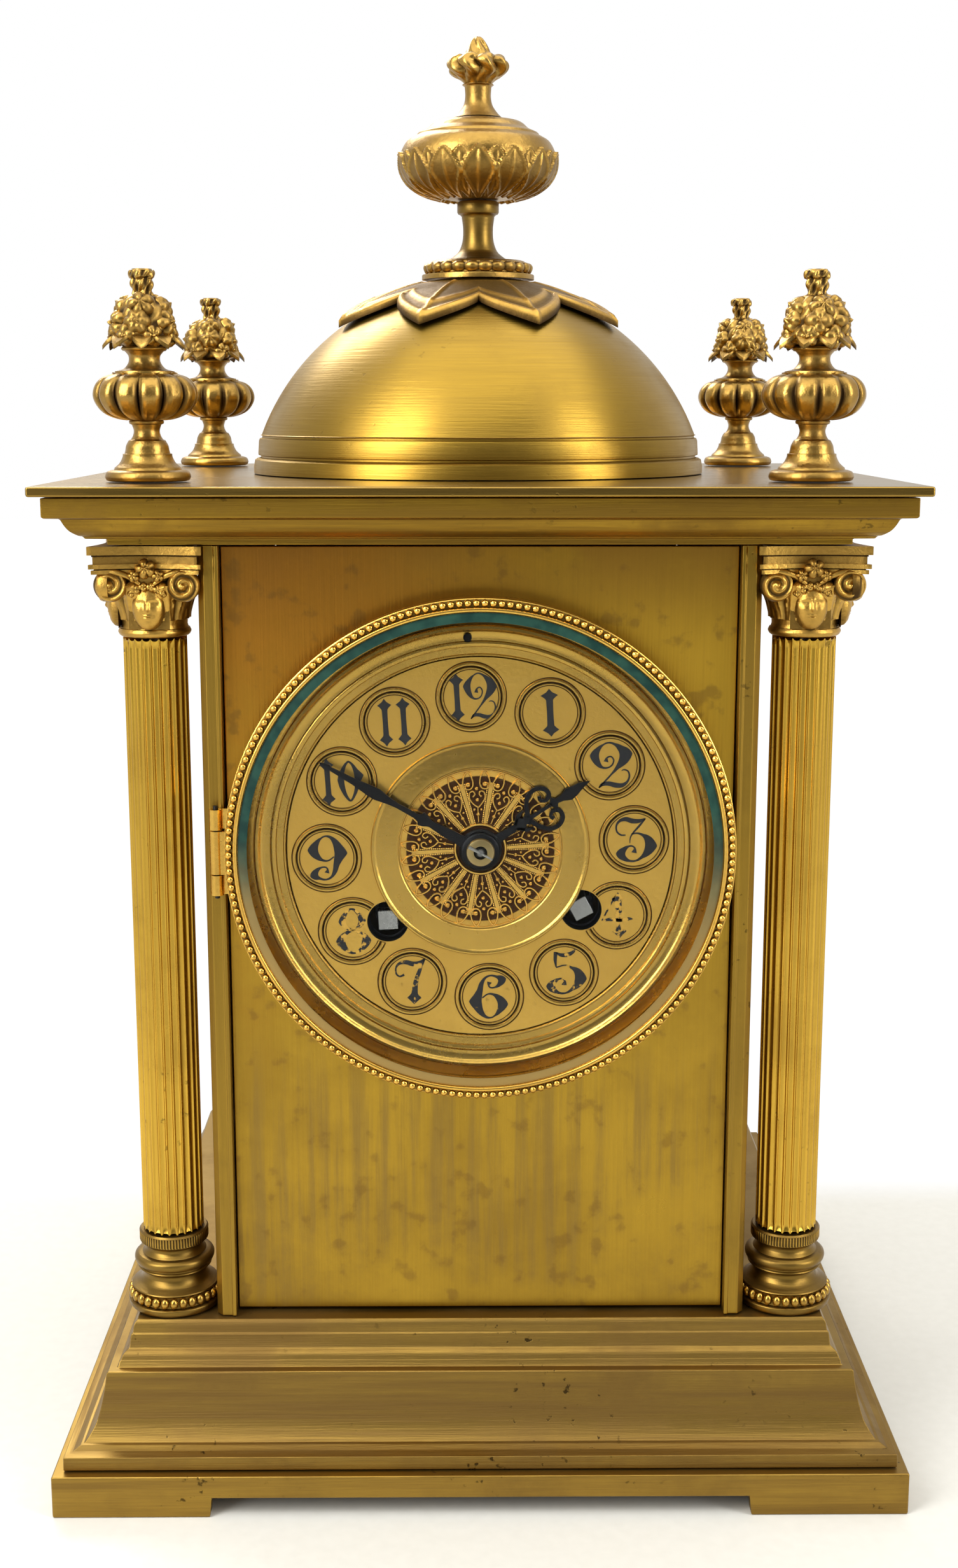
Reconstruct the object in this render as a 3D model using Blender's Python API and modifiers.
"""A French gilt brass architectural mantel clock: eight days going, striking on a bell.

The frame stands on the surface: x to the right, y to the back, z up, with the origin under the middle
of the plinth. Sizes are named in millimetres and made metres when an object is built.
"""

import math

import bmesh
import bpy
from mathutils import Matrix

MM = 0.001
GAP = 0.3  # between pieces that touch on the real clock

# Plinth and base moulding. A profile lists (inset from the plinth's face, height).
PLINTH_HALF_W, PLINTH_HALF_D = 100.7, 89.1
PLINTH_H = 10.4
FOOT_W = 37.0
ARCH_H = 4.8
WALL = 4.0
BASE_LEDGE_Z = 28.0
BASE_PROFILE = [
    (2.5, PLINTH_H + GAP), (2.6, 14.0), (6.5, 15.4), (9.6, 19.6), (11.2, 26.0), (11.7, 30.8),
    (14.0, 31.1), (14.5, 32.3), (16.4, 34.8), (17.0, 38.0), (18.3, 41.2),
]
STEP_Z = 41.2

# Body: four posts with panels set between them.
BODY_HALF_W, BODY_HALF_D = 63.4, 69.9
BODY_BOTTOM, BODY_TOP = STEP_Z + GAP, 225.9
PANEL_HALF_W = 58.6
POST_FACE_W = 2.6
POST_DEPTH = 7.4
PANEL_RECESS = 3.5
PANEL_T = 2.0
PANEL_BOTTOM, PANEL_TOP = 44.2, 225.5

# Cornice and top plate. The profile lists (inset from the top plate's edge, height), bottom to top.
TOP_HALF_W, TOP_HALF_D = 97.2, 86.4
TOP_Z, TOP_T = 239.5, 2.2
CORNICE_PROFILE = [
    (14.5, 226.2), (14.5, 227.6), (9.9, 228.2), (8.3, 228.9), (6.7, 230.4), (5.8, 232.3),
    (2.6, 232.5), (2.6, 237.0),
]
CORNICE_INNER_W, CORNICE_INNER_D = 57.0, 60.0

# Columns: profiles list (radius, height), top to bottom.
COLUMN_X, COLUMN_Y = 74.6, -59.9
COLUMN_BASE_PROFILE = [
    (0, 60.6), (8.3, 60.6), (8.3, 57.8), (7.6, 55.6), (9.0, 54.6), (9.6, 53.2), (9.0, 51.9),
    (8.2, 50.6), (8.6, 48.4), (10.4, 47.4), (11.3, 46.0), (10.9, 43.6), (10.9, 41.5), (0, 41.5),
]
SHAFT_R = 7.3
SHAFT_Z = (60.9, 204.6)
CAPITAL_PROFILE = [
    (0, 220.5), (10.4, 220.5), (8.6, 216.0), (7.6, 211.0), (7.4, 208.6), (8.3, 207.6), (8.3, 205.6),
    (7.6, 204.9), (0, 204.9),
]
ABACUS_Z = (219.6, 225.8)
ABACUS_HALF = 13.1

# Dome, leaf collar and centre finial.
DOME_CAP_R, DOME_CAP_DROP = 59.0, 11.5
DOME_RIM_R, ROD_HOLE_R = 55.1, 2.4
DOME_WALL = 1.3
DOME_STEPS = 24
COLLAR_R, COLLAR_T, COLLAR_LIFT = 36.0, 1.0, 0.7
RING_PROFILE = [
    (2.3, 292.1), (13.2, 292.1), (13.8, 290.4), (13.5, 288.9), (14.1, 288.5), (14.1, 287.5),
    (13.0, 287.5), (10.0, 288.4), (2.3, 289.0),
]
STEM_PROFILE = [
    (0, 306.5), (5.1, 306.5), (5.2, 303.8), (4.2, 302.6), (3.8, 299.2), (4.3, 295.8), (6.0, 293.2),
    (7.2, 292.4), (1.8, 292.4), (1.8, 232.0), (0, 232.0),
]
BOWL_PROFILE = [
    (0, 326.2), (6.4, 326.2), (10.6, 325.6), (11.9, 324.6), (14.8, 322.7), (16.0, 321.9), (18.4, 319.6),
    (19.6, 316.1), (18.8, 312.6), (16.2, 309.8), (12.0, 307.7), (5.6, 306.8), (0, 306.8),
]
BUD_PROFILE = [
    (0, 345.7), (1.3, 345.0), (3.6, 341.6), (7.2, 340.6), (7.9, 338.4), (6.6, 335.8), (3.4, 334.0),
    (3.4, 330.4), (4.4, 328.0), (6.0, 326.5), (0, 326.5),
]

# Corner urns: radius, and height over the top plate, top to bottom.
URN_X, URN_Y = 75.0, 60.0
URN_PROFILE = [
    (0, 46.8), (2.5, 46.6), (2.6, 40.6), (7.0, 39.6), (9.4, 33.2), (8.6, 30.6), (4.9, 29.6),
    (3.3, 27.2), (6.1, 24.4), (9.4, 23.0), (11.7, 18.8), (9.2, 14.8), (3.6, 13.2), (3.1, 11.4),
    (5.6, 5.6), (9.6, 2.6), (9.6, 0.3), (0, 0.3),
]

# Dial and bezel. The dial and movement sit a little turned in the case.
DIAL_Z = 156.4
TILT = math.radians(3.4)
DIAL_R = 51.9
CENTRE_DISC_R = 22.7
DIAL_Y = (-68.9, -67.2)
KEY_HOLE_R, DISC_HOLE_R = 4.8, 3.2
HOUR_BOSS_R, HOUR_BORE_R, MINUTE_BOSS_R, MINUTE_BORE_R = 4.4, 3.1, 3.6, 1.8
HAND_HALF_W, HAND_NECK_HALF_W = 1.9, 1.3
REGULATOR_HOLE_R, REGULATOR_HOLE_V = 1.5, 49.4
PANEL_HOLE_R = 53.3
RING_STEPS = 32
HINGE_KNUCKLE_R, HINGE_HOLE_R, HINGE_PIN_R = 1.5, 0.75, 0.55
HINGE_HALF, KNUCKLE_HALF = 10.0, 5.0
BEZEL_HINGE = (-60.3, -71.8)
SEAT_PROFILE = [
    (58.0, -69.1), (58.0, -66.7), (52.6, -66.7), (52.6, -62.0), (50.6, -62.0), (50.6, -66.9),
    (52.3, -66.9), (52.3, -69.1),
]
BEZEL_PROFILE = [
    (53.0, -76.0), (57.2, -76.0), (58.2, -75.0), (58.2, -71.5), (56.2, -71.5), (56.2, -69.4),
    (54.7, -69.4), (54.7, -75.6), (53.0, -75.6),
]
GLASS_R, GLASS_Y = 54.3, (-75.3, -74.1)
STRAP_X, STRAP_Y = (50.8, 52.4), (-64.0, 61.0)
HOUR_HAND_DEG, MINUTE_HAND_DEG = 56.6, -60.5  # clockwise from straight up
HOUR_HAND_LENGTH, MINUTE_HAND_LENGTH = 29.8, 42.2
HOUR_HAND_Y, MINUTE_HAND_Y = (-70.4, -69.7), (-71.7, -71.1)

# Back door.
BACK_HINGE = (55.6, 72.0)
BACK_HOLE_R = 50.0
BACK_RING_PROFILE = [(49.0, 66.7), (58.0, 66.7), (58.0, 68.0), (57.2, 68.6), (49.0, 68.6)]
DOOR_PROFILE = [
    (0, 69.9), (50.5, 69.9), (50.5, 68.9), (53.0, 68.9), (53.0, 70.6), (51.4, 71.4), (0, 71.4),
]

# Movement, in its own frame: u to the right and v up from the dial's centre, as seen from the front.
PLATE_R = 45.0
FRONT_PLATE_Y, BACK_PLATE_Y = (-58.0, -56.0), (-24.0, -22.0)
ADDENDUM, DEDENDUM = 0.75, 1.25  # in modules
ARBOR_R, PIVOT_R, PIVOT_HOLE_R = 0.9, 0.5, 0.75
WINDING_R, WINDING_HOLE_R, SQUARE_HALF = 3.3, 3.7, 2.3
CENTRE_ARBOR_R, CENTRE_HOLE_R = 1.5, 1.9
CENTRE = (0.0, 0.0)
GOING_BARREL, STRIKE_BARREL = (22.4, -15.9), (-22.4, -15.9)
ESCAPE = (0.0, 27.0)
ANCHOR_DROP = 13.3
HAMMER = (-38.5, 6.0)
PILLAR_RING_R, PILLAR_R = 41.0, 2.0
PILLAR_DEG = (-90, 25, 55, 163)
DRUM_R = 15.5
ESCAPE_TEETH, ESCAPE_TIP_R, ESCAPE_ROOT_R = 50, 9.5, 8.3
PENDULUM_Y = -15.0
PENDULUM_LENGTH = 128.8
BOB_R, BOB_T = 12.0, 6.0
BELL_X, BELL_Z, BELL_Y, BELL_R = 9.0, 138.0, 3.0, 30.0

# Where the wheels, pinions and pivots lie, front to back.
GREAT_Y, GREAT_PINION_Y, DRUM_Y = (-55.4, -53.8), (-55.6, -53.2), (-54.0, -35.5)
SQUARE_Y, WINDING_FRONT_Y, WINDING_BACK_Y, WINDING_END_Y = -64.2, -60.0, -25.0, -22.5
WINDING_PIVOT_R, PIVOT_BUSH_R = 1.4, 1.85
INTERMEDIATE_Y = (-31.4, -30.4)
CENTRE_TIP_Y, CENTRE_SHOULDER_Y, CENTRE_END_Y = -73.4, -72.6, -22.4
CENTRE_TIP_R = 1.0
CENTRE_WHEEL_Y, CENTRE_PINION_Y, CANNON_Y = (-34.2, -33.2), (-32.4, -29.6), (-60.6, -59.1)
THIRD_Y, THIRD_PINION_Y = (-49.0, -48.0), (-35.0, -32.4)
ESCAPE_Y, ESCAPE_PINION_Y, PALLET_Y = (-27.4, -26.4), (-49.8, -47.2), (-27.7, -26.1)
HOUR_WHEEL_Y, HOUR_PINION_Y, PIPE_Y = (-63.4, -62.0), (-63.8, -61.4), (-70.9, -61.8)
MINUTE_TIP_Y, MINUTE_SHOULDER_Y, MINUTE_END_Y = -64.2, -58.3, -56.4
PIPE_R = 2.8
SECOND_Y, PIN_Y, PIN_PINION_Y = (-29.4, -28.4), (-44.0, -43.0), (-30.0, -27.8)
WARNING_Y, WARNING_PINION_Y = (-39.0, -38.0), (-44.8, -42.2)
FLY_PINION_Y, VANE_Y = (-39.8, -37.2), (-53.0, -46.0)
VANE_HALF_W, VANE_HALF_T = 5.2, 0.3
PALLET_ARM = [(0.0, 2.2), (-8.8, -2.6), (-9.0, -6.2), (-7.9, -6.2), (-7.3, -3.4), (0.0, -1.4)]
HAMMER_REACH, HAMMER_ARM_Y, HAMMER_HEAD_Y = 19.4, (2.6, 4.2), (3.0, 10.5)
BELL_CROWN = [(2.2, 15.6), (9.0, 15.2), (19.0, 12.6), (26.0, 7.4), (BELL_R, 0.0)]
BELL_WALL = 1.6

# Each pair lists (wheel's teeth, pinion's leaves, module).
GREAT_PAIR = (36, 6, 1.0)
INTERMEDIATE_PAIR = (45, 6, 2 / 3)
CENTRE_PAIR = (60, 6, 0.45)
THIRD_PAIR = (60, 6, 0.40)
CANNON_PAIR = (36, 12, 0.5)
HOUR_PAIR = (32, 8, 0.6)
SECOND_PAIR = (36, 6, 2 / 3)
PIN_PAIR = (48, 6, 0.45)
WARNING_PAIR = (42, 6, 0.40)

for old in list(bpy.data.objects):
    bpy.data.objects.remove(old)
CLOCK = bpy.data.collections.new("mantel_clock")
CUTTERS = bpy.data.collections.new("cutters")
bpy.context.scene.collection.children.link(CLOCK)
bpy.context.scene.collection.children.link(CUTTERS)


def finish(name, colour, metallic, roughness):
    """A Principled material in one colour."""
    made = bpy.data.materials.new(name)
    made.use_nodes = True
    shader = made.node_tree.nodes["Principled BSDF"]
    shader.inputs["Base Color"].default_value = (*colour, 1)
    shader.inputs["Metallic"].default_value = metallic
    shader.inputs["Roughness"].default_value = roughness
    return made


GILT = finish("gilt_brass", (0.62, 0.42, 0.13), 1, 0.3)
AGED = finish("aged_brass", (0.36, 0.25, 0.10), 1, 0.45)
DIAL = finish("dial_gilt", (0.66, 0.50, 0.24), 1, 0.4)
WORKS = finish("movement_brass", (0.56, 0.42, 0.18), 1, 0.35)
STEEL = finish("steel", (0.30, 0.30, 0.32), 1, 0.35)
BLACK = finish("black_steel", (0.02, 0.02, 0.025), 1, 0.4)
BELL_METAL = finish("bell_metal", (0.60, 0.50, 0.30), 1, 0.25)
GLASS = finish("glass", (0.9, 0.95, 0.93), 0, 0.05)


# Shapes


def mesh_object(name, bm, material):
    """The bmesh as an object in the clock's collection."""
    mesh = bpy.data.meshes.new(name)
    bm.to_mesh(mesh)
    bm.free()
    mesh.materials.append(material)
    obj = bpy.data.objects.new(name, mesh)
    CLOCK.objects.link(obj)
    return obj


def box(name, low, high, material):
    """A block between two corners."""
    bm = bmesh.new()
    bmesh.ops.create_cube(bm, size=1)
    size = [(b - a) * MM for a, b in zip(low, high)]
    bmesh.ops.scale(bm, vec=size, verts=bm.verts)
    obj = mesh_object(name, bm, material)
    obj.location = [(a + b) / 2 * MM for a, b in zip(low, high)]
    return obj


def turned(name, profile, centre, material, steps, along="Z"):
    """A profile turned about its own axis.

    Along Z, centre is (x, y) and the profile lists (radius, z), top to bottom on the outer side. Along Y,
    centre is (x, z) and it lists (radius, y), front to back. A profile off the axis is a closed section.
    """
    bm = bmesh.new()
    sign = 1 if along == "Z" else -1
    verts = [bm.verts.new((radius * MM, 0, sign * place * MM)) for radius, place in profile]
    for first, second in zip(verts, verts[1:]):
        bm.edges.new((first, second))
    if profile[0][0] > 0:
        bm.edges.new((verts[-1], verts[0]))
    obj = mesh_object(name, bm, material)
    if along == "Z":
        obj.location = (centre[0] * MM, centre[1] * MM, 0)
    else:
        obj.location = (centre[0] * MM, 0, centre[1] * MM)
        obj.rotation_euler = (math.pi / 2, 0, 0)
    screw = obj.modifiers.new("turn", "SCREW")
    screw.steps = screw.render_steps = steps
    screw.use_merge_vertices = True
    screw.merge_threshold = 1e-5
    screw.use_smooth_shade = False
    return obj


def rod(name, radius, span, centre, material, steps=8, along="Y"):
    """A plain round bar."""
    first, last = span
    profile = [(0, first), (radius, first), (radius, last), (0, last)]
    return turned(name, profile, centre, material, steps, along)


def as_mesh(curve):
    """The curve made a mesh, with its caps welded, in the same place."""
    bpy.context.view_layer.update()
    evaluated = curve.evaluated_get(bpy.context.evaluated_depsgraph_get())
    mesh = bpy.data.meshes.new_from_object(evaluated)
    bm = bmesh.new()
    bm.from_mesh(mesh)
    bmesh.ops.remove_doubles(bm, verts=bm.verts, dist=1e-6)
    bmesh.ops.recalc_face_normals(bm, faces=bm.faces)
    bm.to_mesh(mesh)
    bm.free()
    name, place = curve.name, curve.matrix_world.copy()
    bpy.data.objects.remove(curve)
    obj = bpy.data.objects.new(name, mesh)
    obj.matrix_world = place
    CLOCK.objects.link(obj)
    return obj


def flat(name, outlines, span, centre, material, along="Y"):
    """Flat outlines, the first the edge and the rest holes, cut from sheet between two places.

    Along Y the outlines are (x, z) as seen from the front, about centre (x, z). Along Z they are (x, y).
    """
    curve = bpy.data.curves.new(name, "CURVE")
    curve.dimensions = "2D"
    curve.fill_mode = "BOTH"
    curve.extrude = (span[1] - span[0]) / 2 * MM
    curve.materials.append(material)
    for outline in outlines:
        spline = curve.splines.new("POLY")
        spline.points.add(len(outline) - 1)
        for point, (a, b) in zip(spline.points, outline):
            point.co = (a * MM, b * MM, 0, 1)
        spline.use_cyclic_u = True
    obj = bpy.data.objects.new(name, curve)
    middle = (span[0] + span[1]) / 2
    if along == "Y":
        obj.location = (centre[0] * MM, middle * MM, centre[1] * MM)
        obj.rotation_euler = (math.pi / 2, 0, 0)
    else:
        obj.location = (centre[0] * MM, centre[1] * MM, middle * MM)
    CLOCK.objects.link(obj)
    return as_mesh(obj)


def polar(radius, angle):
    """The point at this radius and angle."""
    return radius * math.cos(angle), radius * math.sin(angle)


def circle(radius, sides, centre=(0, 0)):
    """A round outline."""
    points = [polar(radius, math.tau * i / sides) for i in range(sides)]
    return [(centre[0] + x, centre[1] + y) for x, y in points]


def mitred(name, profile, half_w, half_d, material):
    """A moulding carried round a rectangle.

    The section is closed, and each of its (inset, z) points makes one loop of four corners.
    """
    bm = bmesh.new()
    loops = []
    for inset, z in profile:
        x, y = (half_w - inset) * MM, (half_d - inset) * MM
        corners = [(-x, -y), (x, -y), (x, y), (-x, y)]
        loops.append([bm.verts.new((a, b, z * MM)) for a, b in corners])
    for i, lower in enumerate(loops):
        upper = loops[(i + 1) % len(loops)]
        for j in range(4):
            bm.faces.new((lower[j], lower[(j + 1) % 4], upper[(j + 1) % 4], upper[j]))
    bmesh.ops.recalc_face_normals(bm, faces=bm.faces)
    return mesh_object(name, bm, material)


def boolean(base, others, operation):
    """Other objects joined to, or cut from, a base, and kept as helpers."""
    for other in others:
        CLOCK.objects.unlink(other)
        CUTTERS.objects.link(other)
        other.hide_render = True
        other.display_type = "WIRE"
        modifier = base.modifiers.new(operation.lower(), "BOOLEAN")
        modifier.operation = operation
        modifier.object = other
    return base


def join(base, *others):
    """Others joined to a base."""
    return boolean(base, others, "UNION")


def cut(base, *others):
    """Others cut from a base."""
    return boolean(base, others, "DIFFERENCE")


def hang_on(name, at, *children):
    """An empty on a joint's axis that carries its pieces."""
    empty = bpy.data.objects.new(name, None)
    empty.location = [value * MM for value in at]
    CLOCK.objects.link(empty)
    for child in children:
        child.parent = empty
        child.matrix_parent_inverse = Matrix.Translation(-empty.location)


# The movement's own geometry


def in_case(u, v):
    """The (x, z) of a point on the movement, whose frame is turned by TILT."""
    return (
        u * math.cos(TILT) - v * math.sin(TILT),
        DIAL_Z + u * math.sin(TILT) + v * math.cos(TILT),
    )


def turned_place(u, v):
    """A point of the movement's frame, relative to the dial's centre in the case."""
    x, z = in_case(u, v)
    return x, z - DIAL_Z


def mesh_distance(pair):
    """How far apart a wheel and its pinion turn."""
    wheel, pinion, module = pair
    return module * (wheel + pinion) / 2


def meet(a, from_a, b, from_b, side):
    """The point at given distances from a and b, on the left (+1) or right (-1) of the way from a to b."""
    dx, dy = b[0] - a[0], b[1] - a[1]
    apart = math.hypot(dx, dy)
    along = (from_a**2 - from_b**2 + apart**2) / (2 * apart)
    across = side * math.sqrt(from_a**2 - along**2)
    return (a[0] + (along * dx - across * dy) / apart, a[1] + (along * dy + across * dx) / apart)


def beyond(start, distance, degrees):
    """The point at a distance and bearing from another."""
    x, y = polar(distance, math.radians(degrees))
    return start[0] + x, start[1] + y


INTERMEDIATE = meet(CENTRE, mesh_distance(INTERMEDIATE_PAIR), GOING_BARREL, mesh_distance(GREAT_PAIR), -1)
THIRD = meet(CENTRE, mesh_distance(CENTRE_PAIR), ESCAPE, mesh_distance(THIRD_PAIR), -1)
MINUTE = (0.0, mesh_distance(CANNON_PAIR))
SECOND = beyond(STRIKE_BARREL, mesh_distance(GREAT_PAIR), 75)
PIN = beyond(SECOND, mesh_distance(SECOND_PAIR), 120)
WARNING = beyond(PIN, mesh_distance(PIN_PAIR), 40)
FLY = beyond(WARNING, mesh_distance(WARNING_PAIR), 125)
ANCHOR = (0.0, ESCAPE[1] + ANCHOR_DROP)
PIVOTED = (INTERMEDIATE, THIRD, ESCAPE, SECOND, PIN, WARNING, FLY, ANCHOR, HAMMER)


def bearing(start, end):
    """The direction from one arbor to another in the case, in radians."""
    (ax, az), (bx, bz) = in_case(*start), in_case(*end)
    return math.atan2(bz - az, bx - ax)


def gear_outline(teeth, module, phase):
    """Pointed teeth on the pitch circle: a tip and a root point for each, with a tip at the phase angle."""
    pitch_r = module * teeth / 2
    points = []
    for i in range(teeth):
        tip = phase + math.tau * i / teeth
        points.append(polar(pitch_r + ADDENDUM * module, tip))
        points.append(polar(pitch_r - DEDENDUM * module, tip + math.pi / teeth))
    return points


def wheel(name, pair, at, driven, span, bore=None):
    """A wheel with a tooth on the line to the pinion it drives."""
    teeth, _, module = pair
    outlines = [gear_outline(teeth, module, bearing(at, driven))]
    if bore:
        outlines.append(circle(bore, 12))
    return flat(name, outlines, span, in_case(*at), WORKS)


def pinion(name, pair, at, driver, span, material=STEEL):
    """A pinion with a gap on the line to the wheel that drives it."""
    _, leaves, module = pair
    phase = bearing(at, driver) + math.pi / leaves
    return flat(name, [gear_outline(leaves, module, phase)], span, in_case(*at), material)


def arbor(name, at, material=STEEL):
    """A steel arbor between the plates, with a pivot in each."""
    front, back = FRONT_PLATE_Y[1] + GAP, BACK_PLATE_Y[0] - GAP
    tip_front, tip_back = FRONT_PLATE_Y[0] + GAP, BACK_PLATE_Y[1] - GAP
    profile = [
        (0, tip_front), (PIVOT_R, tip_front), (PIVOT_R, front), (ARBOR_R, front),
        (ARBOR_R, back), (PIVOT_R, back), (PIVOT_R, tip_back), (0, tip_back),
    ]
    return turned(name, profile, in_case(*at), material, 8, "Y")


# Case


def plinth():
    """A hollow plinth on four bracket feet: the arches are cut right through from side to side."""
    section = [(0, 0), (0, PLINTH_H), (WALL, PLINTH_H), (WALL, 0)]
    body = mitred("plinth", section, PLINTH_HALF_W, PLINTH_HALF_D, AGED)
    reach = PLINTH_HALF_W + 10  # past the walls on both sides
    clear_w, clear_d = PLINTH_HALF_W - FOOT_W, PLINTH_HALF_D - FOOT_W
    cut(
        body,
        box("front_arch", (-clear_w, -reach, -1), (clear_w, reach, ARCH_H), AGED),
        box("side_arch", (-reach, -clear_d, -1), (reach, clear_d, ARCH_H), AGED),
    )


def base_moulding():
    """The moulded base: a shell closed on top by the step that the body stands on."""
    inner_w = BASE_PROFILE[-1][0] + WALL
    section = BASE_PROFILE + [(inner_w, STEP_Z), (inner_w, BASE_LEDGE_Z), (inner_w - 6, PLINTH_H + GAP)]
    body = mitred("base_moulding", section, PLINTH_HALF_W, PLINTH_HALF_D, AGED)
    deck_w, deck_d = PLINTH_HALF_W - inner_w + 1, PLINTH_HALF_D - inner_w + 1
    join(body, box("step_deck", (-deck_w, -deck_d, STEP_Z - 3), (deck_w, deck_d, STEP_Z), AGED))


def posts():
    """Four corner posts with a chamfered outer edge."""
    face, side, back = PANEL_HALF_W + POST_FACE_W, BODY_HALF_W, BODY_HALF_D - POST_DEPTH
    chamfer = side - face
    outline = [
        (PANEL_HALF_W, -BODY_HALF_D), (face, -BODY_HALF_D), (side, chamfer - BODY_HALF_D),
        (side, -back), (PANEL_HALF_W, -back),
    ]
    for row, turn_y in (("front", 1), ("back", -1)):
        for hand, turn_x in (("left", -1), ("right", 1)):
            points = [(x * turn_x, y * turn_y) for x, y in outline]
            flat(f"{row}_post_{hand}", [points], (BODY_BOTTOM, BODY_TOP), (0, 0), GILT, "Z")


def panels():
    """Front and back panels with round openings, and two plain side panels."""
    half = PANEL_HALF_W - GAP
    front_y = PANEL_RECESS - BODY_HALF_D
    low, high = PANEL_BOTTOM - DIAL_Z, PANEL_TOP - DIAL_Z
    edge = [(-half, low), (half, low), (half, high), (-half, high)]
    at = (0, DIAL_Z)
    front = [edge, circle(PANEL_HOLE_R, RING_STEPS)]
    flat("front_panel", front, (front_y, front_y + PANEL_T), at, GILT)
    back = [edge, circle(BACK_HOLE_R, RING_STEPS)]
    flat("back_panel", back, (-front_y - PANEL_T, -front_y), at, AGED)
    reach = BODY_HALF_D - POST_DEPTH - GAP
    for hand, turn in (("left", -1), ("right", 1)):
        xs = sorted((turn * (BODY_HALF_W - GAP), turn * (BODY_HALF_W - GAP - PANEL_T)))
        box(f"{hand}_side_panel", (xs[0], -reach, BODY_BOTTOM), (xs[1], reach, BODY_TOP), GILT)


def cornice():
    """The cornice frame, with the top plate lying on it. The finial's rod goes through the plate."""
    inner = TOP_HALF_W - CORNICE_INNER_W
    section = CORNICE_PROFILE + [(inner, CORNICE_PROFILE[-1][1]), (inner, CORNICE_PROFILE[0][1])]
    mitred("cornice", section, TOP_HALF_W, TOP_HALF_D, GILT)
    w, d = TOP_HALF_W, TOP_HALF_D
    edge = [(-w, -d), (w, -d), (w, d), (-w, d)]
    flat("top_plate", [edge, circle(ROD_HOLE_R, 12)], (TOP_Z - TOP_T, TOP_Z), (0, 0), GILT, "Z")


def columns():
    """Two columns: turned base, round shaft, and a capital whose abacus is notched to clear the body."""
    for hand, turn in (("left", -1), ("right", 1)):
        at = (turn * COLUMN_X, COLUMN_Y)
        turned(f"column_base_{hand}", COLUMN_BASE_PROFILE, at, GILT, 16)
        rod(f"column_shaft_{hand}", SHAFT_R, SHAFT_Z[::-1], at, GILT, 20, "Z")
        bell_shape = turned(f"column_capital_{hand}", CAPITAL_PROFILE, at, GILT, 14)
        notch_x = -(COLUMN_X - BODY_HALF_W - 2 * GAP)
        notch_y = -(BODY_HALF_D + COLUMN_Y + 2 * GAP)
        outline = [
            (-ABACUS_HALF, -ABACUS_HALF), (ABACUS_HALF, -ABACUS_HALF), (ABACUS_HALF, ABACUS_HALF),
            (notch_x, ABACUS_HALF), (notch_x, notch_y), (-ABACUS_HALF, notch_y),
        ]
        outline = [(x * turn, y) for x, y in outline]
        join(bell_shape, flat(f"abacus_{hand}", [outline], ABACUS_Z, at, GILT, "Z"))


def dome_height(radius, offset=0.0):
    """The height over the top plate of the dome's spherical cap, or of a surface offset from it."""
    return math.sqrt((DOME_CAP_R + offset) ** 2 - radius**2) - DOME_CAP_DROP


def dome():
    """The dome shell on its two bands, the leaf collar lying on it, and the finial in four pieces."""
    cap = [DOME_RIM_R - (DOME_RIM_R - ROD_HOLE_R) * i / 6 for i in range(7)]
    outer = [(radius, dome_height(radius)) for radius in reversed(cap)]
    bands = [(54.7, 8.9), (55.6, 8.5), (55.9, 4.8), (55.5, 4.3), (57.1, 3.9), (57.1, GAP)]
    inner = [(54.4, GAP), (53.6, 9.0)] + [(r, dome_height(r, -DOME_WALL)) for r in (46, 30, ROD_HOLE_R)]
    profile = [(r, TOP_Z + h) for r, h in outer + bands + inner]
    turned("dome", profile, (0, 0), GILT, DOME_STEPS)
    radii = (COLLAR_R, 28, 18, 9, 2.8)
    lift = {r: GAP + COLLAR_LIFT * (r / COLLAR_R) ** 2 for r in radii}
    upper = [(r, dome_height(r, lift[r] + COLLAR_T)) for r in reversed(radii)]
    lower = [(r, dome_height(r, lift[r])) for r in radii]
    turned("leaf_collar", [(r, TOP_Z + h) for r, h in upper + lower], (0, 0), GILT, DOME_STEPS)
    turned("finial_ring", RING_PROFILE, (0, 0), GILT, 18)
    turned("finial_stem", STEM_PROFILE, (0, 0), GILT, 14)
    turned("finial_bowl", BOWL_PROFILE, (0, 0), GILT, 18)
    turned("finial_bud", BUD_PROFILE, (0, 0), GILT, 14)


def urns():
    """The four corner urns."""
    profile = [(r, TOP_Z + h) for r, h in URN_PROFILE]
    for row, y in (("front", -URN_Y), ("back", URN_Y)):
        for hand, x in (("left", -URN_X), ("right", URN_X)):
            turned(f"urn_{row}_{hand}", profile, (x, y), GILT, 10)


# Front and back doors


def knuckle(name, axis, span, material):
    """A hinge knuckle: a short tube along z."""
    low, high = span
    section = [
        (HINGE_KNUCKLE_R, high), (HINGE_KNUCKLE_R, low), (HINGE_HOLE_R, low), (HINGE_HOLE_R, high),
    ]
    return turned(name, section, axis, material, 12)


def fixed_knuckles(name, axis, leaf_x, leaf_y, material):
    """The two outer knuckles of a hinge, each with its leaf."""
    pieces = []
    for place, sign in (("upper", 1), ("lower", -1)):
        ends = sorted((DIAL_Z + sign * (KNUCKLE_HALF + GAP), DIAL_Z + sign * HINGE_HALF))
        pieces.append(knuckle(f"{name}_{place}_knuckle", axis, ends, material))
        low = (leaf_x[0], leaf_y[0], ends[0])
        pieces.append(box(f"{name}_{place}_leaf", low, (leaf_x[1], leaf_y[1], ends[1]), material))
    return pieces


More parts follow.
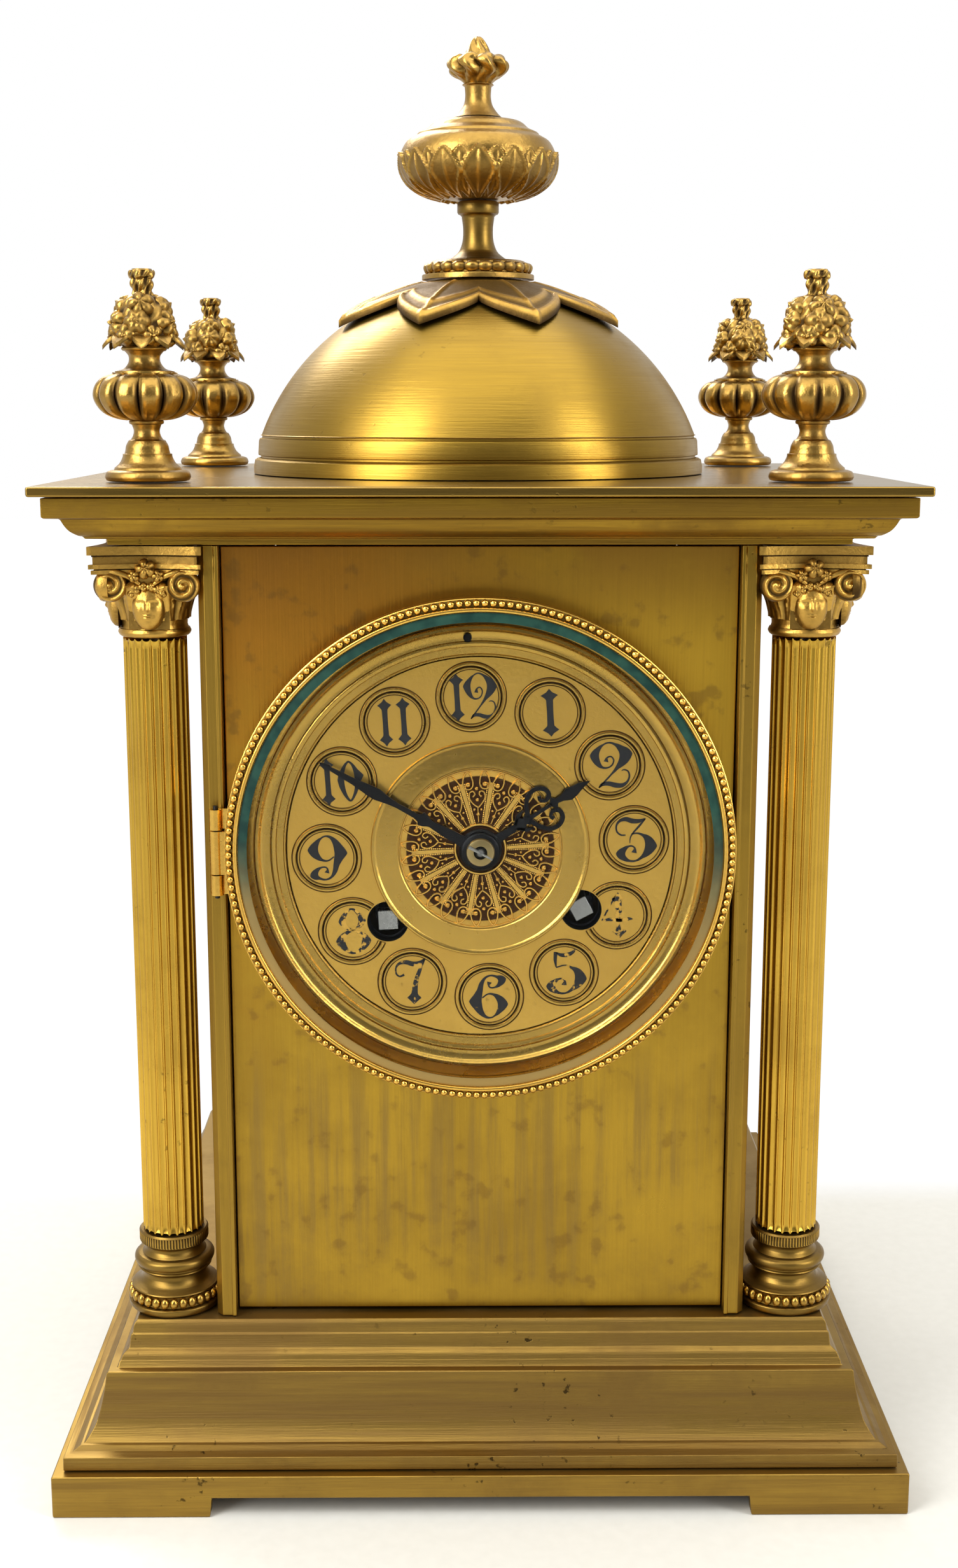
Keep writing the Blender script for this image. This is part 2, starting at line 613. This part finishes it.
def hinge_pin(name, axis):
    """A hinge's steel pin, a little longer than its knuckles."""
    span = (DIAL_Z + HINGE_HALF + 0.8, DIAL_Z - HINGE_HALF - 0.8)
    rod(name, HINGE_PIN_R, span, axis, STEEL, 8, "Z")


def front_door():
    """The fixed seat ring with its straps, and the hinged bezel with its glass."""
    at = (0, DIAL_Z)
    seat = turned("bezel_seat", SEAT_PROFILE, at, GILT, RING_STEPS, "Y")
    straps = []
    for hand, turn in (("left", -1), ("right", 1)):
        xs = sorted((turn * STRAP_X[0], turn * STRAP_X[1]))
        low, high = (xs[0], STRAP_Y[0], DIAL_Z - 4), (xs[1], STRAP_Y[1], DIAL_Z + 4)
        straps.append(box(f"strap_{hand}", low, high, WORKS))
    x, y = BEZEL_HINGE
    fixed = fixed_knuckles("bezel", BEZEL_HINGE, (x + 1.0, -56.8), (y + 0.6, -70.2), GILT)
    roots = []
    for place, sign in (("upper", 1), ("lower", -1)):
        ends = sorted((DIAL_Z + sign * (KNUCKLE_HALF + GAP), DIAL_Z + sign * HINGE_HALF))
        roots.append(box(f"bezel_{place}_root", (-58.3, y + 0.6, ends[0]), (-56.8, -68.0, ends[1]), GILT))
    join(seat, *straps, *fixed, *roots)
    bezel = turned("bezel", BEZEL_PROFILE, at, GILT, RING_STEPS, "Y")
    span = (DIAL_Z - KNUCKLE_HALF, DIAL_Z + KNUCKLE_HALF)
    arm = box("bezel_arm", (x + 1.0, y - 1.4, span[0]), (-56.6, y - 0.1, span[1]), GILT)
    join(bezel, knuckle("bezel_knuckle", BEZEL_HINGE, span, GILT), arm)
    glass_profile = [(0, GLASS_Y[0]), (GLASS_R, GLASS_Y[0]), (GLASS_R, GLASS_Y[1]), (0, GLASS_Y[1])]
    glass = turned("bezel_glass", glass_profile, at, GLASS, RING_STEPS, "Y")
    hinge_pin("bezel_hinge_pin", BEZEL_HINGE)
    hang_on("bezel_axis", (x, y, DIAL_Z), bezel, glass)


def back_door():
    """The ring at the back, and the hinged door over it."""
    at = (0, DIAL_Z)
    x, y = BACK_HINGE
    ring = turned("back_ring", BACK_RING_PROFILE, at, GILT, RING_STEPS, "Y")
    join(ring, *fixed_knuckles("back", BACK_HINGE, (x - 1.2, x + 1.2), (68.0, y - 1.0), GILT))
    door = turned("back_door", DOOR_PROFILE, at, GILT, RING_STEPS, "Y")
    span = (DIAL_Z - KNUCKLE_HALF, DIAL_Z + KNUCKLE_HALF)
    arm = box("door_arm", (x - 4.6, y - 1.1, span[0]), (x - 1.0, y + 0.3, span[1]), GILT)
    join(door, knuckle("door_knuckle", BACK_HINGE, span, GILT), arm)
    hinge_pin("back_hinge_pin", BACK_HINGE)
    hang_on("back_door_axis", (x, y, DIAL_Z), door)


# Dial and hands


def dial():
    """The dial ring with its two winding holes and regulating hole, and the disc in its centre."""
    winding = [circle(KEY_HOLE_R, 14, turned_place(*place)) for place in (GOING_BARREL, STRIKE_BARREL)]
    regulator = circle(REGULATOR_HOLE_R, 8, turned_place(0, REGULATOR_HOLE_V))
    ring = [circle(DIAL_R, 40), circle(CENTRE_DISC_R + GAP, 28), *winding, regulator]
    flat("dial_ring", ring, DIAL_Y, (0, DIAL_Z), DIAL)
    flat("dial_centre", [circle(CENTRE_DISC_R, 28), circle(DISC_HOLE_R, 12)], DIAL_Y, (0, DIAL_Z), DIAL)


def hand(name, length, degrees, boss, bore, span):
    """A hand: a ring boss and a tapered blade in one outline, pointing at its rest angle."""
    straight = math.radians(90 - degrees)
    width, neck = HAND_HALF_W, HAND_NECK_HALF_W
    blade = [(boss, neck), (0.45 * length, width), (0.72 * length, width), (length, 0.0)]
    blade += [(along, -across) for along, across in reversed(blade[:-1])]
    start = math.atan2(-neck, boss)
    sweep = [start - (math.tau + 2 * start) * i / 10 for i in range(1, 10)]
    outline = blade + [polar(math.hypot(boss, neck), angle) for angle in sweep]
    rotate = [
        (a * math.cos(straight) - b * math.sin(straight), a * math.sin(straight) + b * math.cos(straight))
        for a, b in outline
    ]
    return flat(name, [rotate, circle(bore, 12)], span, (0, DIAL_Z), BLACK)


def hands():
    """The two hands on the centre of the dial."""
    hour, minute = (HOUR_HAND_LENGTH, HOUR_HAND_DEG), (MINUTE_HAND_LENGTH, MINUTE_HAND_DEG)
    hand("hour_hand", *hour, HOUR_BOSS_R, HOUR_BORE_R, HOUR_HAND_Y)
    hand("minute_hand", *minute, MINUTE_BOSS_R, MINUTE_BORE_R, MINUTE_HAND_Y)


# Movement


def plates():
    """Two round plates drilled for the arbors: the front one carries the pillars, the back one the cock."""
    shared = [circle(PIVOT_HOLE_R, 8, turned_place(*at)) for at in PIVOTED]
    winding = [circle(WINDING_HOLE_R, 12, turned_place(*at)) for at in (GOING_BARREL, STRIKE_BARREL)]
    minute_hole = circle(PIVOT_HOLE_R, 8, turned_place(*MINUTE))
    centre_hole = circle(CENTRE_HOLE_R, 12)
    edge = circle(PLATE_R, 28)
    middle = (0, DIAL_Z)
    holes = [*shared, *winding, minute_hole, centre_hole]
    front = flat("front_plate", [edge, *holes], FRONT_PLATE_Y, middle, WORKS)
    span = (FRONT_PLATE_Y[1] - 1, BACK_PLATE_Y[0] - GAP)
    pillars = []
    for degrees in PILLAR_DEG:
        place = in_case(*polar(PILLAR_RING_R, math.radians(degrees)))
        pillars.append(rod(f"pillar_{degrees}", PILLAR_R, span, place, WORKS))
    join(front, *pillars)
    pivots = [circle(PIVOT_BUSH_R, 8, turned_place(*at)) for at in (GOING_BARREL, STRIKE_BARREL)]
    back = flat("back_plate", [edge, *shared, *pivots, centre_hole], BACK_PLATE_Y, middle, WORKS)
    x, z = in_case(*ANCHOR)
    cock_y = (BACK_PLATE_Y[1] - 1, PENDULUM_Y + 3)
    cock = box("cock", (x - 4, cock_y[0], z - 0.6), (x + 4, cock_y[1], z + 2.4), WORKS)
    bore = (BACK_PLATE_Y[0] - 2, BACK_PLATE_Y[1] + 1.4)
    clear = rod("cock_clearance", PIVOT_HOLE_R, bore, (x, z), WORKS)
    cut(join(back, cock), clear)


def barrels():
    """The two spring barrels with their great wheels, on winding arbors with square ends."""
    for name, at, driven in (("going", GOING_BARREL, INTERMEDIATE), ("strike", STRIKE_BARREL, SECOND)):
        place = in_case(*at)
        section = [
            (DRUM_R, DRUM_Y[0]), (DRUM_R, DRUM_Y[1]),
            (WINDING_HOLE_R, DRUM_Y[1]), (WINDING_HOLE_R, DRUM_Y[0]),
        ]
        great = wheel(f"{name}_barrel", GREAT_PAIR, at, driven, GREAT_Y, WINDING_HOLE_R)
        join(great, turned(f"{name}_drum", section, place, WORKS, 24, "Y"))
        profile = [
            (0, WINDING_FRONT_Y), (WINDING_R, WINDING_FRONT_Y), (WINDING_R, WINDING_BACK_Y),
            (WINDING_PIVOT_R, WINDING_BACK_Y), (WINDING_PIVOT_R, WINDING_END_Y), (0, WINDING_END_Y),
        ]
        shaft = turned(f"{name}_winding_arbor", profile, place, STEEL, 12, "Y")
        h = SQUARE_HALF
        square = [(-h, -h), (h, -h), (h, h), (-h, h)]
        join(shaft, flat(f"{name}_square", [square], (SQUARE_Y, WINDING_FRONT_Y + 1), place, STEEL))


def train_arbor(name, at, wheel_part, pinion_part):
    """An arbor with a wheel and the pinion that drives it, as one rigid piece."""
    return join(arbor(name, at), wheel_part, pinion_part)


def going_train():
    """Intermediate, centre, third and escape arbors."""
    train_arbor(
        "intermediate_wheel", INTERMEDIATE,
        wheel("intermediate_rim", INTERMEDIATE_PAIR, INTERMEDIATE, CENTRE, INTERMEDIATE_Y),
        pinion("intermediate_leaves", GREAT_PAIR, INTERMEDIATE, GOING_BARREL, GREAT_PINION_Y),
    )
    profile = [
        (0, CENTRE_TIP_Y), (CENTRE_TIP_R, CENTRE_TIP_Y), (CENTRE_ARBOR_R, CENTRE_SHOULDER_Y),
        (CENTRE_ARBOR_R, CENTRE_END_Y), (0, CENTRE_END_Y),
    ]
    centre = turned("centre_arbor", profile, in_case(*CENTRE), STEEL, 10, "Y")
    cannon_phase = bearing(CENTRE, MINUTE) + math.pi / CANNON_PAIR[1]
    cannon_outline = gear_outline(CANNON_PAIR[1], CANNON_PAIR[2], cannon_phase)
    join(
        centre,
        wheel("centre_rim", CENTRE_PAIR, CENTRE, THIRD, CENTRE_WHEEL_Y),
        pinion("centre_leaves", INTERMEDIATE_PAIR, CENTRE, INTERMEDIATE, CENTRE_PINION_Y),
        flat("cannon_leaves", [cannon_outline], CANNON_Y, in_case(*CENTRE), STEEL),
    )
    train_arbor(
        "third_wheel", THIRD,
        wheel("third_rim", THIRD_PAIR, THIRD, ESCAPE, THIRD_Y),
        pinion("third_leaves", CENTRE_PAIR, THIRD, CENTRE, THIRD_PINION_Y),
    )
    step = math.pi / ESCAPE_TEETH
    outline = []
    for i in range(ESCAPE_TEETH):
        outline.append(polar(ESCAPE_TIP_R, 2 * i * step))
        outline.append(polar(ESCAPE_ROOT_R, (2 * i + 1.6) * step))
    train_arbor(
        "escape_wheel", ESCAPE,
        flat("escape_rim", [outline], ESCAPE_Y, in_case(*ESCAPE), WORKS),
        pinion("escape_leaves", THIRD_PAIR, ESCAPE, THIRD, ESCAPE_PINION_Y),
    )


def escapement():
    """The anchor, and the pendulum that hangs behind the back plate."""
    left = PALLET_ARM
    outline = left + [(-x, y) for x, y in reversed(left[1:-1])]
    pallets = [turned_place(x, y) for x, y in outline]
    join(arbor("anchor", ANCHOR), flat("pallets", [pallets], PALLET_Y, in_case(*ANCHOR), STEEL))
    x, z = in_case(*ANCHOR)
    top = z - 1.0
    bob_z = z - PENDULUM_LENGTH
    rod_piece = rod("pendulum", 1.0, (top, bob_z - BOB_R - 2.5), (x, PENDULUM_Y), STEEL, 8, "Z")
    front, back = PENDULUM_Y - BOB_T / 2, PENDULUM_Y + BOB_T / 2
    lens = [
        (0, front), (BOB_R * 0.6, front + 0.5), (BOB_R, PENDULUM_Y - 0.6), (BOB_R, PENDULUM_Y + 0.6),
        (BOB_R * 0.6, back - 0.5), (0, back),
    ]
    join(rod_piece, turned("bob", lens, (x, bob_z), WORKS, 20, "Y"))
    hang_on("pendulum_axis", (x, PENDULUM_Y, z), rod_piece)


def motion_work():
    """The minute wheel and the hour wheel with its pipe, in front of the front plate."""
    place = in_case(*MINUTE)
    profile = [
        (0, MINUTE_TIP_Y), (ARBOR_R, MINUTE_TIP_Y), (ARBOR_R, MINUTE_SHOULDER_Y),
        (PIVOT_R, MINUTE_SHOULDER_Y), (PIVOT_R, MINUTE_END_Y), (0, MINUTE_END_Y),
    ]
    hour_leaves_phase = bearing(MINUTE, CENTRE) + math.pi / HOUR_PAIR[1]
    hour_leaves = gear_outline(HOUR_PAIR[1], HOUR_PAIR[2], hour_leaves_phase)
    join(
        turned("minute_wheel", profile, place, STEEL, 8, "Y"),
        wheel("minute_rim", CANNON_PAIR, MINUTE, CENTRE, CANNON_Y),
        flat("minute_leaves", [hour_leaves], HOUR_PINION_Y, place, STEEL),
    )
    front, back = PIPE_Y
    pipe = [(PIPE_R, front), (PIPE_R, back), (CENTRE_HOLE_R, back), (CENTRE_HOLE_R, front)]
    hour = wheel("hour_wheel", HOUR_PAIR, CENTRE, MINUTE, HOUR_WHEEL_Y, CENTRE_HOLE_R + 0.4)
    join(hour, turned("hour_pipe", pipe, in_case(*CENTRE), WORKS, 12, "Y"))


def strike_train():
    """Second, pin, warning and fly arbors."""
    train_arbor(
        "second_wheel", SECOND,
        wheel("second_rim", SECOND_PAIR, SECOND, PIN, SECOND_Y),
        pinion("second_leaves", GREAT_PAIR, SECOND, STRIKE_BARREL, GREAT_PINION_Y),
    )
    train_arbor(
        "pin_wheel", PIN,
        wheel("pin_rim", PIN_PAIR, PIN, WARNING, PIN_Y),
        pinion("pin_leaves", SECOND_PAIR, PIN, SECOND, PIN_PINION_Y),
    )
    train_arbor(
        "warning_wheel", WARNING,
        wheel("warning_rim", WARNING_PAIR, WARNING, FLY, WARNING_Y),
        pinion("warning_leaves", PIN_PAIR, WARNING, PIN, WARNING_PINION_Y),
    )
    x, z = in_case(*FLY)
    low = (x - VANE_HALF_W, VANE_Y[0], z - VANE_HALF_T)
    vane = box("vane", low, (x + VANE_HALF_W, VANE_Y[1], z + VANE_HALF_T), WORKS)
    train_arbor(
        "fly", FLY, vane,
        pinion("fly_leaves", WARNING_PAIR, FLY, WARNING, FLY_PINION_Y),
    )


def bell():
    """The hammer, and the bell on its stand behind the pendulum."""
    x, z = in_case(*HAMMER)
    reach = HAMMER_REACH
    front, back = FRONT_PLATE_Y[0] + GAP, 6.0
    profile = [(0, front), (PIVOT_R, front), (PIVOT_R, back), (0, back)]
    arm_y = HAMMER_ARM_Y
    arm = box("hammer_arm", (x - 1.4, arm_y[0], z - 1.2), (x + reach, arm_y[1], z + 1.2), STEEL)
    head = rod("hammer_head", 3.0, HAMMER_HEAD_Y, (x + reach, z), STEEL, 12)
    join(turned("hammer", profile, (x, z), STEEL, 8, "Y"), arm, head)
    wall = BELL_WALL
    outer = [(r, BELL_Y + h) for r, h in BELL_CROWN]
    inner = [(r - wall if r > 3 else r, BELL_Y + h - (wall if h > 1 else 0)) for r, h in BELL_CROWN]
    turned("bell", outer[::-1] + inner, (BELL_X, BELL_Z), BELL_METAL, 20, "Y")
    seat = BELL_Y + BELL_CROWN[0][1] - wall - GAP
    profile = [
        (0, BACK_PLATE_Y[1] + GAP), (2.5, BACK_PLATE_Y[1] + GAP), (2.5, seat), (1.6, seat),
        (1.6, seat + 5.0), (0, seat + 5.0),
    ]
    turned("bell_stand", profile, (BELL_X, BELL_Z), STEEL, 10, "Y")


plinth()
base_moulding()
posts()
panels()
cornice()
columns()
dome()
urns()
front_door()
back_door()
dial()
hands()
plates()
barrels()
going_train()
escapement()
motion_work()
strike_train()
bell()
